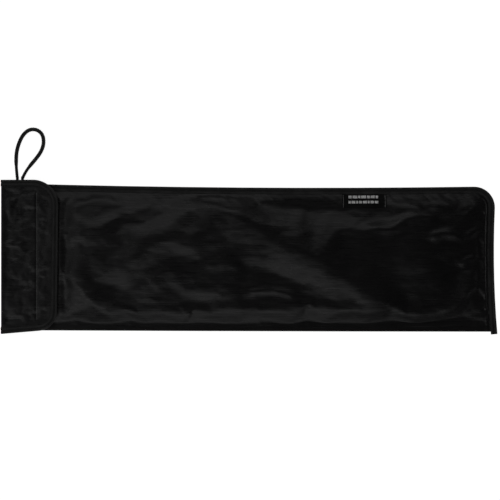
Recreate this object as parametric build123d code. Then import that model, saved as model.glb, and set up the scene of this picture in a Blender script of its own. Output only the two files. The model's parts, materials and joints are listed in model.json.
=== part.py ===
from build123d import *
import os
from math import atan2, degrees, radians, tan

# Flat storage pouch for the fold-flat fabric grid of a strip softbox, lying on its back.
# +X runs along the pouch from the flap end to the closed end, +Y across it towards the seamed
# edge, +Z up out of the front. The origin is at the middle of the pouch, on the table.
# One cloth makes the back, the front and the flap; it is folded once along the lower edge.
# Every soft piece is drawn at rest, at its real outer size, in millimetres.

os.makedirs("parts", exist_ok=True)

# ---- driving dimensions -------------------------------------------------------------------
CLOTH = 0.6  # coated nylon, with the slack of its weave
TAPE = 0.5  # one layer of woven binding tape
BIND_WIDTH = 8.8  # how far the folded tape reaches over each face
FLAP_BIND_WIDTH = 7.4  # the same, round the flap
END_X = 335.0  # half the pouch's length
HALF_Y = 104.0  # half the flap's width, which is the widest place
OVERSIZE = 40.0  # how far construction faces run past what they cut

SEAM_LEFT = (-END_X, 99.8)  # upper long edge: its two ends and its pulled-in middle
SEAM_MIDDLE = (0.0, 93.7)
SEAM_RIGHT = (332.3, 95.4)
CLOSED_MIDDLE = (329.4, -12.0)  # closed short edge
CLOSED_FOOT = (334.0, -HALF_Y)
CORNER_RADIUS = 28.0
FOLD_LEFT = (-END_X, -97.8)  # lower long edge, where the cloth folds
FOLD_MIDDLE = (60.0, -99.3)
FOLD_RIGHT = (END_X, -99.8)

MOUTH_X = -316.0  # the front's free edge
PUFF_HEIGHT = 13.0  # top of the front
PUFF_INSET = BIND_WIDTH + 0.7  # from a bound edge to where the front starts to rise
PUFF_RUN = 26.0  # how far the front takes to rise from the bindings
FOLD_RUN = 14.0  # the same, from the folded edge
MOUTH_HEIGHT = 8.4  # the front is pressed flat under the flap
FLAT_UNTIL_X = -252.0
RISEN_FROM_X = -190.0

CREASE_GAP = 0.6  # from a crease's axis to the cloth on each side of it
CREASE_X = -END_X + CLOTH / 2 + TAPE  # the flap's two parallel creases
LOWER_CREASE_Z = TAPE + CLOTH / 2
UPPER_CREASE_Z = 11.4

FLAP_CORNERS = ((-257.0, 104.0), (-259.5, -97.0))  # before rounding
FLAP_RADII = (34.0, 26.0)
FLAP_LEFT_Y = (103.6, -103.4)

TOUCH_TAPE_WIDTH = 16.0  # hook tape and loop tape
TOUCH_TAPE_LEFT = -287.5
LOOP_TAPE_Y = (-73.0, 74.0)  # on the flat of the front
HOOK_TAPE_Y = (-84.0, 87.0)  # nearly from binding to binding across the flap
LOOP_TAPE_THICK = 1.1
HOOK_TAPE_THICK = 1.0

THREAD = 0.6  # width of a row of stitches
THREAD_HIGH = 0.2
STITCH_RUN_OUT = 1.6  # how far the edge's row of stitches runs past the fold
TOUCH_STITCH_INSET = 1.0  # from the edge of hook tape or loop tape to its stitches

LABEL_SIZE = (60.0, 19.0, 0.5)
LABEL_X = 154.0
LABEL_LIFT = 0.1
LABEL_STITCH_INSET = 1.8

CORD_DIAMETER = 4.0
CORD_Z = CORD_DIAMETER / 2  # it lies on the table
SWING_Y = 106.2  # where the loop bends as it is lifted
CLEARANCE = 0.3  # round pieces that move or are slipped on
TOUCH_GAP = 0.1  # between pieces that lie against each other
BARTACK_SIZE = (1.6, 3.4, THREAD_HIGH)

# The loop's route along the table, from one bend to the other.
LOOP_ROUTE = (
    (-313.9, SWING_Y),
    (-315.0, 115.5),
    (-315.6, 129.0),
    (-314.9, 142.5),
    (-311.4, 154.6),
    (-306.0, 165.3),
    (-297.3, 172.4),
    (-286.6, 171.8),
    (-279.2, 164.6),
    (-278.0, 152.6),
    (-282.0, 141.5),
    (-289.5, 131.5),
    (-297.9, 121.8),
    (-303.6, 113.6),
    (-307.0, SWING_Y),
)

# ---- heights of the layers in the seams -----------------------------------------------------
MARGIN_LOW = TAPE
MARGIN_MIDDLE = MARGIN_LOW + CLOTH
MARGIN_HIGH = MARGIN_MIDDLE + CLOTH
BINDING_HIGH = MARGIN_HIGH + TAPE
FLAP_LOW = UPPER_CREASE_Z - CLOTH / 2
FLAP_HIGH = UPPER_CREASE_Z + CLOTH / 2
CLOTH_LEFT_X = CREASE_X + CREASE_GAP
TAPE_LEFT_X = CLOTH_LEFT_X + TAPE
BACK_STEP_X = MOUTH_X + TAPE  # the back comes down to the table just inside the mouth
STEP_WIDTH = 0.8

# ---- plan shapes ---------------------------------------------------------------------------


def x_band(low, high):
    """A block between two X stations that covers the whole pouch."""
    size = 4 * END_X
    return Pos((low + high) / 2, 0, 0) * Box(high - low, size, size)


def right_of(face, x):
    return face - Pos(x - 2 * END_X, 0) * Rectangle(4 * END_X, 4 * END_X)


def prism(face, low, high):
    """A face drawn at Z 0, as a solid between two heights."""
    return Pos(0, 0, low) * extrude(face, amount=high - low)


def round_corner(face, corner, radius):
    return fillet(face.vertices().sort_by_distance(Vector(*corner))[0], radius)


def seam_curve():
    return ThreePointArc(SEAM_LEFT, SEAM_MIDDLE, SEAM_RIGHT)


def seamed_face():
    """The plan inside the two bound edges; it runs past the folded edge and the creases."""
    far_x, far_y = -END_X - OVERSIZE, -HALF_Y - OVERSIZE
    outline = [
        Line((far_x, SEAM_LEFT[1]), SEAM_LEFT),
        seam_curve(),
        ThreePointArc(SEAM_RIGHT, CLOSED_MIDDLE, CLOSED_FOOT),
        Polyline(CLOSED_FOOT, (END_X, far_y), (far_x, far_y), (far_x, SEAM_LEFT[1])),
    ]
    return round_corner(make_face(outline), SEAM_RIGHT, CORNER_RADIUS)


def folded_face():
    """The plan above the folded edge; it runs past the two bound edges."""
    far = 2 * END_X
    outline = [
        ThreePointArc(FOLD_LEFT, FOLD_MIDDLE, FOLD_RIGHT),
        Polyline(FOLD_RIGHT, (far, FOLD_RIGHT[1]), (far, far), (-END_X, far), FOLD_LEFT),
    ]
    return make_face(outline)


SEAMED = seamed_face()
FOLDED = folded_face()


def inset(amount):
    """The plan brought in by some millimetres from the two bound edges."""
    return offset(SEAMED, -amount, kind=Kind.INTERSECTION) if amount else SEAMED


def plan(left_x, bound_inset, fold_inset=0.0):
    return right_of(Pos(0, fold_inset) * FOLDED & inset(bound_inset), left_x)


def flap_face(amount, left_x):
    """The flap's plan, brought in from its three free edges."""
    (upper_x, upper_y), (lower_x, lower_y) = FLAP_CORNERS
    far_x = CREASE_X - OVERSIZE
    slope = (lower_y - FLAP_LEFT_Y[1]) / (lower_x - CREASE_X)
    far_y = FLAP_LEFT_Y[1] - slope * OVERSIZE
    corners = [(far_x, FLAP_LEFT_Y[0]), (upper_x, upper_y), (lower_x, lower_y), (far_x, far_y)]
    face = make_face(Polyline(*corners, close=True))
    for corner, radius in zip(FLAP_CORNERS, FLAP_RADII):
        face = round_corner(face, corner, radius)
    return right_of(offset(face, -amount, kind=Kind.INTERSECTION) if amount else face, left_x)


def touch_tape_face(ends, amount=0.0):
    """The plan of hook tape or loop tape between two Y stations, brought in all round."""
    low, high = ends
    middle = Pos(TOUCH_TAPE_LEFT + TOUCH_TAPE_WIDTH / 2, (low + high) / 2)
    return middle * Rectangle(TOUCH_TAPE_WIDTH - 2 * amount, high - low - 2 * amount)


# ---- the pouch's two walls -------------------------------------------------------------------


def back_panel():
    """The back, flat on the table, stepping up into the bindings and to the flap's crease."""
    table_inset = BIND_WIDTH + CLEARANCE
    floor = plan(BACK_STEP_X, table_inset, CLOTH)
    lowered = plan(BACK_STEP_X + STEP_WIDTH, table_inset + STEP_WIDTH, CLOTH)
    margin = plan(CLOTH_LEFT_X, TAPE, CLOTH) - floor
    step = floor - lowered
    raised = prism(margin, MARGIN_LOW, MARGIN_MIDDLE) + prism(step, 0, MARGIN_MIDDLE)
    return prism(floor, 0, CLOTH) + raised


def puff(lift=0.0):
    """The room under the front as a solid, from the seam's level up, moved up by lift."""
    base = plan(-END_X, PUFF_INSET, 2 * CLOTH)
    crown = plan(-END_X, PUFF_INSET + PUFF_RUN, 2 * CLOTH + FOLD_RUN)
    body = loft([Pos(0, 0, MARGIN_HIGH) * base, Pos(0, 0, PUFF_HEIGHT) * crown], ruled=True)
    over = PUFF_HEIGHT + OVERSIZE
    side = Polyline(
        (-END_X, MOUTH_HEIGHT),
        (FLAT_UNTIL_X, MOUTH_HEIGHT),
        (RISEN_FROM_X, PUFF_HEIGHT),
        (RISEN_FROM_X, over),
        (-END_X, over),
        close=True,
    )
    pressed = extrude(Plane.XZ * make_face(side), amount=2 * HALF_Y, both=True)
    return Pos(0, 0, lift) * (body - pressed)


def front_panel():
    """The front: a flat margin in the seams, the puffed middle, and the fold down to the back."""
    margin = prism(plan(MOUTH_X, TAPE), MARGIN_MIDDLE, MARGIN_HIGH)
    inside = plan(MOUTH_X, 0, CLOTH)
    fold_in_seam = prism(plan(MOUTH_X, TAPE) - inside, MARGIN_LOW, MARGIN_HIGH)
    fold_on_table = prism(plan(MOUTH_X, BIND_WIDTH + CLEARANCE) - inside, 0, MARGIN_HIGH)
    cover = puff() & x_band(MOUTH_X, END_X)
    return margin + fold_in_seam + fold_on_table + cover - puff(-CLOTH)


def mouth_binding():
    """Tape folded over the front's free edge, inside and out."""
    outer = puff(TAPE) & x_band(MOUTH_X - TAPE, MOUTH_X + BIND_WIDTH)
    cloth = (puff() - puff(-CLOTH)) & x_band(MOUTH_X, END_X)
    return outer - puff(-CLOTH - TAPE) - cloth


# ---- bindings ------------------------------------------------------------------------------


def edge_binding():
    """Tape folded over the upper edge and the closed end; its cut end stands past the fold."""
    foot = Pos(0, -HALF_Y - OVERSIZE) * Rectangle(4 * END_X, 2 * OVERSIZE)
    covered = right_of(SEAMED - foot, TAPE_LEFT_X)
    slot = right_of(inset(TAPE) - foot, TAPE_LEFT_X)
    return prism(covered - inset(BIND_WIDTH), 0, BINDING_HIGH) - prism(slot, MARGIN_LOW, MARGIN_HIGH)


def corner_binding():
    """The short end of the tape on the folded side, between the crease and the mouth."""
    low_y = FOLD_LEFT[1] + CLOTH - TAPE - CLEARANCE
    length = MOUTH_X - TAPE - TAPE_LEFT_X
    height = MARGIN_MIDDLE + TAPE
    place = Pos(TAPE_LEFT_X + length / 2, low_y + BIND_WIDTH / 2, height / 2)
    slot = prism(plan(-END_X, TAPE, CLOTH), MARGIN_LOW, MARGIN_MIDDLE)
    return place * Box(length, BIND_WIDTH, height) - slot


# ---- the flap ---------------------------------------------------------------------------------


def crease_wall(outline, thick):
    """An upright wall on the creases, from its (Y, Z) outline."""
    face = make_face(Polyline(*outline, close=True))
    return extrude(Plane.YZ.offset(CREASE_X) * face, amount=thick / 2, both=True)


def fold_panel():
    """The strip of cloth between the two creases, standing at the pouch's flap end."""
    low, high = LOWER_CREASE_Z + CREASE_GAP, UPPER_CREASE_Z - CREASE_GAP
    outline = [
        (SEAM_LEFT[1] - TAPE, low),
        (FLAP_LEFT_Y[0] - TAPE, high),
        (FLAP_LEFT_Y[1] + TAPE, high),
        (FOLD_LEFT[1] + CLOTH, low),
    ]
    return crease_wall(outline, CLOTH)


def fold_bindings():
    """The tape's two short stretches over the ends of that strip."""
    thick = CLOTH + 2 * TAPE
    low = LOWER_CREASE_Z + thick / 2 + TOUCH_GAP
    high = UPPER_CREASE_Z - thick / 2 - TOUCH_GAP
    bindings = []
    for side, foot, head in ((1, SEAM_LEFT[1], FLAP_LEFT_Y[0]), (-1, FOLD_LEFT[1], FLAP_LEFT_Y[1])):
        inner_foot, inner_head = foot - side * BIND_WIDTH, head - side * BIND_WIDTH
        outline = [(foot, low), (head, high), (inner_head, high), (inner_foot, low)]
        bindings += (crease_wall(outline, thick) - fold_panel()).solids()
    return Compound(children=bindings)


def flap_panel():
    return prism(flap_face(TAPE, CLOTH_LEFT_X), FLAP_LOW, FLAP_HIGH)


def flap_binding():
    """Tape folded over the flap's three free edges."""
    band = flap_face(0, TAPE_LEFT_X) - flap_face(FLAP_BIND_WIDTH, -END_X)
    slot = prism(flap_face(TAPE, -END_X), FLAP_LOW, FLAP_HIGH)
    return prism(band, FLAP_LOW - TAPE, FLAP_HIGH + TAPE) - slot


def hook_tape():
    return prism(touch_tape_face(HOOK_TAPE_Y), FLAP_LOW - HOOK_TAPE_THICK, FLAP_LOW)


def loop_tape():
    return prism(touch_tape_face(LOOP_TAPE_Y), MOUTH_HEIGHT, MOUTH_HEIGHT + LOOP_TAPE_THICK)


# ---- rows of stitches -----------------------------------------------------------------------------


def thread_row(face, inner_face, low):
    """The thread between two outlines, lying on the surface at that height."""
    return prism(face - inner_face, low, low + THREAD_HIGH)


def edge_stitching():
    amount = (BIND_WIDTH - THREAD) / 2
    cloth = Pos(0, -STITCH_RUN_OUT) * FOLDED
    outer = right_of(inset(amount) & cloth, TAPE_LEFT_X + TAPE)
    return thread_row(outer, inset(amount + THREAD), BINDING_HIGH)


def flap_stitching():
    amount = (FLAP_BIND_WIDTH - THREAD) / 2
    outer = flap_face(amount, TAPE_LEFT_X + TAPE)
    return thread_row(outer, flap_face(amount + THREAD, -END_X), FLAP_HIGH + TAPE)


def touch_tape_stitching(ends, low):
    """A row of stitches round the hook tape or the loop tape."""
    outer = touch_tape_face(ends, TOUCH_STITCH_INSET)
    return thread_row(outer, touch_tape_face(ends, TOUCH_STITCH_INSET + THREAD), low)


def hook_tape_stitching():
    return touch_tape_stitching(HOOK_TAPE_Y, FLAP_HIGH)


def loop_tape_stitching():
    return touch_tape_stitching(LOOP_TAPE_Y, MOUTH_HEIGHT + LOOP_TAPE_THICK)


def mouth_stitching():
    """One row along the mouth binding, following the front."""
    near_x = MOUTH_X + (BIND_WIDTH + THREAD) / 2
    return (puff(TAPE + THREAD_HIGH) - puff(TAPE)) & x_band(near_x - THREAD, near_x)


# ---- label --------------------------------------------------------------------------------------------


def label_place():
    """The middle of the label's underside, high on the slope below the upper binding."""
    share = (LABEL_X - SEAM_LEFT[0]) / (SEAM_RIGHT[0] - SEAM_LEFT[0])
    along = seam_curve() % share
    heading = degrees(atan2(along.Y, along.X))
    tilt = degrees(atan2(PUFF_HEIGHT - MARGIN_HIGH, PUFF_RUN))
    seam_y = (seam_curve() @ share).Y
    start = Pos(LABEL_X, seam_y - PUFF_INSET, MARGIN_HIGH) * Rot(0, 0, heading) * Rot(-tilt, 0, 0)
    return start * Pos(0, -LABEL_SIZE[1] / 2 - LABEL_LIFT, LABEL_LIFT)


def woven_label():
    return label_place() * Pos(0, 0, LABEL_SIZE[2] / 2) * Box(*LABEL_SIZE)


def label_stitching():
    """A row of stitches across each folded end of the label."""
    length, width, thick = LABEL_SIZE
    reach = length / 2 - LABEL_STITCH_INSET
    row = Pos(0, 0, thick + THREAD_HIGH / 2) * Box(THREAD, width - LABEL_STITCH_INSET, THREAD_HIGH)
    return Compound(children=[label_place() * Pos(x, 0, 0) * row for x in (-reach, reach)])


# ---- cord loop ---------------------------------------------------------------------------------------


def bend_radii(points):
    """For each inner point, 0.45 of the shorter run over the tangent of half the turn."""
    radii = []
    for before, at, after in zip(points, points[1:], points[2:]):
        run_in = Vector(*at) - Vector(*before)
        run_out = Vector(*after) - Vector(*at)
        half_turn = radians(run_in.get_angle(run_out)) / 2
        radii.append(0.45 * min(run_in.length, run_out.length) / tan(half_turn))
    return radii


def cord_tube(points):
    radii = bend_radii(points)
    path = FilletPolyline(*points, radius=radii)
    section = Plane(origin=path @ 0, z_dir=path % 0) * Circle(CORD_DIAMETER / 2)
    tube = sweep(section, path=path)
    print("cord bend radii", [round(radius, 1) for radius in radii])
    print("cord length", round(path.length, 1))
    print("volume over section times length", round(tube.volume / section.area / path.length, 4))
    return tube


def hanging_loop():
    """The cord past its bend, with a round end in each bend so that it turns in place."""
    route = [(x, y, CORD_Z) for x, y in LOOP_ROUTE]
    ends = [Pos(*route[end]) * Sphere(CORD_DIAMETER / 2) for end in (0, -1)]
    return cord_tube(route) + ends


def tail_places():
    """Where the cord's two ends go into the seam."""
    places = []
    for x in (LOOP_ROUTE[0][0], LOOP_ROUTE[-1][0]):
        share = (x - SEAM_LEFT[0]) / (SEAM_RIGHT[0] - SEAM_LEFT[0])
        places.append((x, (seam_curve() @ share).Y))
    return places


def loop_tails():
    """The cord's two ends, from the seam to the bend."""
    stop_y = SWING_Y - CORD_DIAMETER / 2 - CLEARANCE
    tails = []
    for x, seam_y in tail_places():
        length = stop_y - seam_y - TOUCH_GAP
        tube = Rot(90, 0, 0) * Cylinder(CORD_DIAMETER / 2, length)
        tails.append(Pos(x, stop_y - length / 2, CORD_Z) * tube)
    return Compound(children=tails)


def loop_bartack():
    """Close stitches through the binding where the cord's ends go in."""
    height = BINDING_HIGH + THREAD_HIGH / 2
    bars = [Pos(x, y - BIND_WIDTH / 4, height) * Box(*BARTACK_SIZE) for x, y in tail_places()]
    return Compound(children=bars)


NODES = (
    back_panel,
    front_panel,
    mouth_binding,
    edge_binding,
    corner_binding,
    fold_panel,
    fold_bindings,
    flap_panel,
    flap_binding,
    hook_tape,
    loop_tape,
    edge_stitching,
    flap_stitching,
    hook_tape_stitching,
    loop_tape_stitching,
    mouth_stitching,
    woven_label,
    label_stitching,
    loop_bartack,
    loop_tails,
    hanging_loop,
)

for node in NODES:
    export_step(node(), f"parts/{node.__name__}.step")
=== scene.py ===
import json
from math import cos, pi, radians, sin

import bmesh
import bpy
import numpy as np
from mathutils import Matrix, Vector, noise
from mathutils.bvhtree import BVHTree


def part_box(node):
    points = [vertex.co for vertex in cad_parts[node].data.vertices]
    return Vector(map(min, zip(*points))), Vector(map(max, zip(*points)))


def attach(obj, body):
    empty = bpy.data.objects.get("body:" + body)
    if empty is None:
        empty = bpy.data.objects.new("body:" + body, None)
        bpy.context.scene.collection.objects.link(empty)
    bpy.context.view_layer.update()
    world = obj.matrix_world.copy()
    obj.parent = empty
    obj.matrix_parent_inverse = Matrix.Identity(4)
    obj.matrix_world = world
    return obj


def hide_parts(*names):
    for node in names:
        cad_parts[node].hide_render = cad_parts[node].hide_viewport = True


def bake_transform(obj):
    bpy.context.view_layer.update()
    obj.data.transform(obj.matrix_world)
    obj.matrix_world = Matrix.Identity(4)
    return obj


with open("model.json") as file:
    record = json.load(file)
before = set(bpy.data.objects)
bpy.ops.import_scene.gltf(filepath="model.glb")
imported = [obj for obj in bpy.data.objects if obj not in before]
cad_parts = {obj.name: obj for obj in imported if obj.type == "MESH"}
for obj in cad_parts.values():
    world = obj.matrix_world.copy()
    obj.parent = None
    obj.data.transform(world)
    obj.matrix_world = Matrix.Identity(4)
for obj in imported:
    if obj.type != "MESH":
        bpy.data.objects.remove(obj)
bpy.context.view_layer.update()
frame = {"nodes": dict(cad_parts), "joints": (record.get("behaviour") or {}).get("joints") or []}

MM = 0.001

# ---- places and sizes, read from the frame ----

JOINT = {joint["name"]: Vector(joint["pos_m"]) for joint in frame["joints"]}
CREASE_X = JOINT["fold_turn"].x
LOWER_Z = JOINT["fold_turn"].z
UPPER_Z = JOINT["flap_turn"].z
RISER_Z = (LOWER_Z + UPPER_Z) / 2
SEAM_LO, SEAM_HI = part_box("edge_binding")
FRONT_LO, FRONT_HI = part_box("front_panel")
FLAP_LO, FLAP_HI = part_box("flap_binding")
MOUTH_LO, MOUTH_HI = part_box("mouth_binding")
HOOK_LO, HOOK_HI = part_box("hook_tape")
LOOP_LO, LOOP_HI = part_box("loop_tape")
CORNER_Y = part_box("corner_binding")[0].y
MOUTH_X = FRONT_LO.x
FLAP_END_X = FLAP_HI.x
CROWN_Z = FRONT_HI.z - 3 * MM  # between the soft folds
MOUTH_Z = LOOP_LO.z
SEAM_Z = SEAM_HI.z / 2  # also half the thickness of the seam's tape
SINGLE_HALF = 0.8 * MM  # half the thickness of tape folded over one cloth
CLOTH = 0.4 * MM
BEND = 0.9 * MM  # radius of the cloth at a crease
BLEND_UP, BLEND_ALONG = 1.6 * MM, 1.2 * MM  # how far from a crease the ends of a bend lie, which crease_blend works out but doesn't use
STITCH_PITCH = 3.0 * MM
STITCH = 2.5 * MM
THREAD_RADIUS = 0.27 * MM
BAR_PITCH = 0.42 * MM  # between the threads of a label's block or a bartack
FLAP_TAPE = 7.4 * MM
TAPE_CLOTH = 0.42 * MM
TOUCH_INSET = 1.3 * MM  # from a touch tape's edge to its stitches
STEP = 1.8 * MM  # grid of the cloth
END_STEP = 1.1 * MM  # the same near the closed end
TAPE_STEP = 0.75 * MM


def tree(name):
    """A node's surface, for casting rays at it."""
    mesh = frame["nodes"][name].data
    return BVHTree.FromPolygons([v.co for v in mesh.vertices], [p.vertices for p in mesh.polygons])


def unit(vectors):
    return vectors / np.linalg.norm(vectors, axis=1)[:, None]


def tangents(points):
    return unit(np.gradient(points, axis=0))


def rightward(path):
    """The directions to the right of a flat path."""
    t = tangents(path)
    return np.stack([t[:, 1], -t[:, 0]], axis=1)


def run_along(points):
    """The distance covered at each point of a line."""
    return np.concatenate([[0], np.cumsum(np.linalg.norm(np.diff(points, axis=0), axis=1))])


def resample(points, step):
    """Points a step apart along a polyline, as an array."""
    points = np.array(points, float)
    along = run_along(points)
    wanted = np.linspace(0, along[-1], max(2, int(round(along[-1] / step)) + 1))
    return np.stack([np.interp(wanted, along, axis) for axis in points.T], axis=1)


def outline(name, height, stops):
    """A node's outer edge, met from outside at each stop (x, y, angle), looking in from that angle."""
    edge = tree(name)
    found = []
    for (x0, y0, a0), (x1, y1, a1) in zip(stops, stops[1:]):
        for share in np.linspace(0, 1, 60):
            x, y = x0 + (x1 - x0) * share, y0 + (y1 - y0) * share
            angle = radians(a0 + (a1 - a0) * share)
            out = Vector((cos(angle), sin(angle), 0))
            hit = edge.ray_cast(Vector((x, y, height)) + out, -out)[0]
            if hit:
                found.append((hit.x, hit.y))
    return resample(found, 1.5 * MM)


NEAR_END = 0.1 * MM
SEAM_TURN_X, SEAM_TURN_Y = SEAM_HI.x - 0.042, 0.05  # the middles that the rounded corners are seen from
SEAM_STOPS = [(SEAM_LO.x + NEAR_END, SEAM_TURN_Y, 90), (SEAM_TURN_X, SEAM_TURN_Y, 90)]
SEAM_STOPS += [(SEAM_TURN_X, SEAM_TURN_Y, 0), (SEAM_TURN_X, SEAM_LO.y + NEAR_END, 0)]
SEAM = outline("edge_binding", SEAM_Z, SEAM_STOPS)
FLAP_TURN_X, FLAP_TURN_TOP, FLAP_TURN_LOW = FLAP_HI.x - 0.035, 0.065, -0.07
FLAP_STOPS = [(FLAP_LO.x + NEAR_END, FLAP_TURN_TOP, 90), (FLAP_TURN_X, FLAP_TURN_TOP, 90)]
FLAP_STOPS += [(FLAP_TURN_X, FLAP_TURN_TOP, 0), (FLAP_TURN_X, FLAP_TURN_LOW, 0)]
FLAP_STOPS += [(FLAP_TURN_X, FLAP_TURN_LOW, -90), (FLAP_LO.x + NEAR_END, FLAP_TURN_LOW, -90)]
FLAP_EDGE = outline("flap_binding", UPPER_Z, FLAP_STOPS)

UP_THE_TABLE = Vector((0, 1, 0))
front_tree = tree("front_panel")
FOLD_X = np.linspace(MOUTH_X + 1 * MM, SEAM_HI.x - 12 * MM, 60)
FOLD_Y = np.array([front_tree.ray_cast(Vector((x, -1, LOWER_Z)), UP_THE_TABLE)[0].y for x in FOLD_X])
TAPE_INNER_Y = tree("edge_binding").ray_cast(Vector((0, 0, SEAM_HI.z - 0.1 * MM)), UP_THE_TABLE)[0].y
STRAIGHT = 380  # points of the seam that are well before its rounded corner
TAPE = float(np.interp(0, SEAM[:, 0][:STRAIGHT], SEAM[:, 1][:STRAIGHT]) - TAPE_INNER_Y)


def fold_y(x):
    """The pouch's folded edge."""
    return np.interp(x, FOLD_X, FOLD_Y)


def nearest(x, y, path, step=3):
    """Distance inside a path (its right-hand side), its inward normal, for many points."""
    p = path[::step]
    inward = rightward(p)
    depth, normal = np.empty(len(x)), np.empty((len(x), 2))
    for start in range(0, len(x), 4000):
        part = slice(start, start + 4000)
        gap = np.stack([x[part, None] - p[None, :, 0], y[part, None] - p[None, :, 1]], axis=2)
        best = (gap**2).sum(2).argmin(1)
        normal[part] = inward[best]
        depth[part] = (gap[np.arange(len(best)), best] * inward[best]).sum(1)
    return depth, normal


def ease(t):
    """Goes smoothly from 0 to 1."""
    t = np.clip(t, 0, 1)
    return t * t * (3 - 2 * t)


def hump(gap, width):
    """1 where the gap is nothing, and almost 0 at twice the width."""
    return np.exp(-((gap / width) ** 2))


# ---- camera, light and floor ----


def add_object(name, data):
    made = bpy.data.objects.new(name, data)
    bpy.context.scene.collection.objects.link(made)
    return made


VIEW_WIDTH = 0.675  # seen at the height of the seam
VIEW_Y = 0.00945
LENS, SENSOR = 100, 36
camera = add_object("camera", bpy.data.cameras.new("camera"))
camera.data.lens = LENS
camera.data.sensor_width = SENSOR
camera.data.clip_end = 50
camera.location = (0, VIEW_Y, SEAM_Z + VIEW_WIDTH * LENS / SENSOR)
bpy.context.scene.camera = camera


def softbox(name, place, size, power):
    light = bpy.data.lights.new(name, "AREA")
    light.shape = "RECTANGLE"
    light.size, light.size_y = size
    light.energy = power
    made = add_object(name, light)
    made.location = place
    made.rotation_euler = (-Vector(place)).to_track_quat("-Z", "Y").to_euler()


softbox("front_softbox", (-0.45, -1.05, 1.8), (2.4, 0.9), 8.7)
softbox("left_softbox", (-1.25, 0.1, 1.6), (1.6, 1.0), 2.0)
softbox("rear_softbox", (-0.3, 1.25, 1.8), (2.0, 0.9), 6.4)


def add_node(tree, kind, inputs=(), **settings):
    """A node in a tree, with each input set or linked to another node's output."""
    made = tree.nodes.new(kind)
    for key, value in settings.items():
        setattr(made, key, value)
    for key, value in dict(inputs).items():
        if isinstance(value, bpy.types.NodeSocket):
            tree.links.new(value, made.inputs[key])
        else:
            made.inputs[key].default_value = value
    return made


world = bpy.data.worlds.new("studio")
world.use_nodes = True
backdrop = world.node_tree.nodes["Background"]
backdrop.inputs["Color"].default_value = (1, 1, 1, 1)
toward = add_node(world.node_tree, "ShaderNodeTexCoord").outputs["Generated"]
upward = add_node(world.node_tree, "ShaderNodeSeparateXYZ", {"Vector": toward}).outputs["Z"]
fading = {"Value": upward, "From Min": 0.16, "From Max": 0.42, "To Min": 0.93, "To Max": 0.045}
fade = add_node(world.node_tree, "ShaderNodeMapRange", fading)  # pale at the horizon, dim overhead
world.node_tree.links.new(fade.outputs["Result"], backdrop.inputs["Strength"])
bpy.context.scene.world = world
bpy.context.scene.view_settings.view_transform = "Standard"

# ---- materials ----


class Finish:
    """A Principled material with helpers for its procedural detail."""

    def __init__(self, name, colour, roughness, specular):
        self.material = bpy.data.materials.new(name)
        self.material.use_nodes = True
        self.tree = self.material.node_tree
        self.shader = self.tree.nodes["Principled BSDF"]
        self.shader.inputs["Base Color"].default_value = (*colour, 1)
        self.shader.inputs["Roughness"].default_value = roughness
        self.shader.inputs["Specular IOR Level"].default_value = specular
        self.height = None

    def node(self, kind, inputs=(), **settings):
        return add_node(self.tree, kind, inputs, **settings)

    def place(self, scale):
        """Object coordinates, stretched."""
        where = self.node("ShaderNodeTexCoord").outputs["Object"]
        return self.node("ShaderNodeMapping", {"Vector": where, "Scale": scale}).outputs[0]

    def noise(self, scale, detail, vector=None):
        inputs = {"Vector": vector or self.place((1, 1, 1)), "Scale": scale, "Detail": detail}
        return self.node("ShaderNodeTexNoise", inputs).outputs["Fac"]

    def math(self, operation, first, second=0.0):
        return self.node("ShaderNodeMath", {0: first, 1: second}, operation=operation).outputs[0]

    def remap(self, value, low, high, to_low, to_high):
        inputs = {"Value": value, "From Min": low, "From Max": high, "To Min": to_low, "To Max": to_high}
        return self.node("ShaderNodeMapRange", inputs).outputs[0]

    def along(self, name, pitch):
        """A wave along one of the mesh's own distances, from 0 to 1."""
        distance = self.node("ShaderNodeAttribute", attribute_name=name).outputs["Fac"]
        wave = self.math("SINE", self.math("MULTIPLY", distance, 2 * pi / pitch))
        return self.math("ADD", self.math("MULTIPLY", wave, 0.5), 0.5)

    def tint(self, value, dark, light):
        inputs = {"Factor": value, "A": (*dark, 1), "B": (*light, 1)}
        mix = self.node("ShaderNodeMix", inputs, data_type="RGBA")
        self.tree.links.new(mix.outputs["Result"], self.shader.inputs["Base Color"])

    def rough(self, value, low, high):
        self.tree.links.new(self.remap(value, 0.3, 0.7, low, high), self.shader.inputs["Roughness"])

    def bump(self, value, depth, strength):
        inputs = {"Height": value, "Distance": depth, "Strength": strength}
        if self.height is not None:
            inputs["Normal"] = self.height
        self.height = self.node("ShaderNodeBump", inputs).outputs["Normal"]
        self.tree.links.new(self.height, self.shader.inputs["Normal"])


def nylon(name, roughness, specular):
    """Coated plain-weave nylon: a fine weave, longer ribs along the cloth, faint blotches."""
    made = Finish(name, (0.011, 0.011, 0.011), roughness, specular)
    blotch = made.noise(9, 4)
    made.tint(made.remap(blotch, 0.35, 0.65, 0, 1), (0.0034, 0.0033, 0.0035), (0.0052, 0.0050, 0.0052))
    ribs = made.noise(1, 3, made.place((22, 620, 620)))
    made.rough(ribs, roughness - 0.05, roughness + 0.07)
    made.bump(ribs, 0.16 * MM, 0.9)
    threads = []
    for way in "XY":
        inputs = {"Vector": made.place((1, 1, 1)), "Scale": 300, "Distortion": 0.4}
        threads.append(made.node("ShaderNodeTexWave", inputs, bands_direction=way).outputs["Fac"])
    made.bump(made.math("MULTIPLY", *threads), 0.05 * MM, 0.6)
    return made.material


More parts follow.
